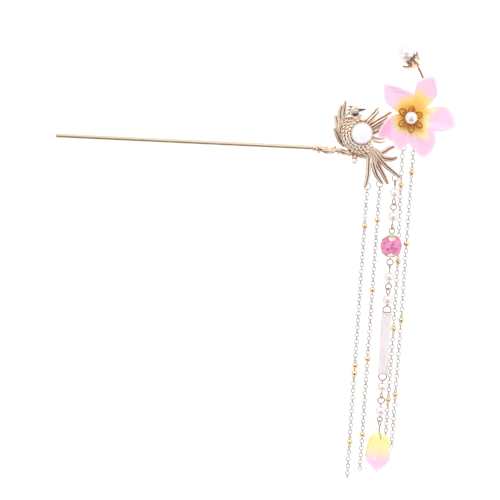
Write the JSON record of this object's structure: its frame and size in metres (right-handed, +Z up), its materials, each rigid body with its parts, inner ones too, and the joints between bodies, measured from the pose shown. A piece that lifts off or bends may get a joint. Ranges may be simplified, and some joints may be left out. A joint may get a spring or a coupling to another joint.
{
  "type": "buyao hairpin",
  "caption": "Hair stick with a cast phoenix on a branch, a resin flower with a pearl, and fine chains and a pearl strand that hang from the tail and flower.",
  "frame": {"origin": "On the hair stick's axis, at the mouth of the branch's socket, where the hair stops against the ornament", "axes": "+X from the stick's free tip towards the ornament, -Y towards the front of the ornament, +Z up; what hangs runs along -Z"},
  "size_m": [0.1589, 0.0168, 0.1781],
  "materials": {
    "gilt_metal": "champagne gold plating on cast zinc alloy and brass, polished on the heights and dark in the hollows",
    "stick_metal": "champagne gold plating on drawn brass rod, satin",
    "chain_metal": "pale gold plating on fine brass wire, polished",
    "opal": "opal glass, milky white with faint blue and lilac",
    "pearl": "white imitation pearl, coated and lustrous",
    "petal_resin": "cast resin, translucent, pink at the edges and yellow at the heart",
    "pink_glass": "pink crackled glass, polished",
    "tube_glass": "milky white glass tube, satin"
  },
  "bodies": {
    "root": {"stick": "stick_metal", "phoenix_casting": "gilt_metal", "opal": "opal", "eye_stone": "pearl", "branch_pearl": "pearl", "flower": "petal_resin", "flower_core": "gilt_metal", "core_pearl": "pearl", "bud_pearl": "pearl", "ring_1": "gilt_metal", "ring_2": "gilt_metal", "ring_3": "gilt_metal", "ring_4": "gilt_metal", "ring_5": "gilt_metal", "chain_1": "chain_metal", "chain_2": "chain_metal", "chain_3": "chain_metal", "chain_4": "chain_metal", "pearl_1": "pearl", "pearl_2": "pearl", "pearl_3": "pearl", "pearl_4": "pearl", "pearl_5": "pearl", "pearl_6": "pearl", "pink_bead": "pink_glass", "bead_cap_top": "gilt_metal", "bead_cap_bottom": "gilt_metal", "tube_bead": "tube_glass", "drop": "petal_resin", "pin_1": "gilt_metal", "pin_2": "gilt_metal", "pin_3": "gilt_metal", "pin_4": "gilt_metal", "pin_5": "gilt_metal", "pin_6": "gilt_metal", "pin_7": "gilt_metal", "pin_8": "gilt_metal", "pin_9": "gilt_metal"}
  },
  "joints": []
}
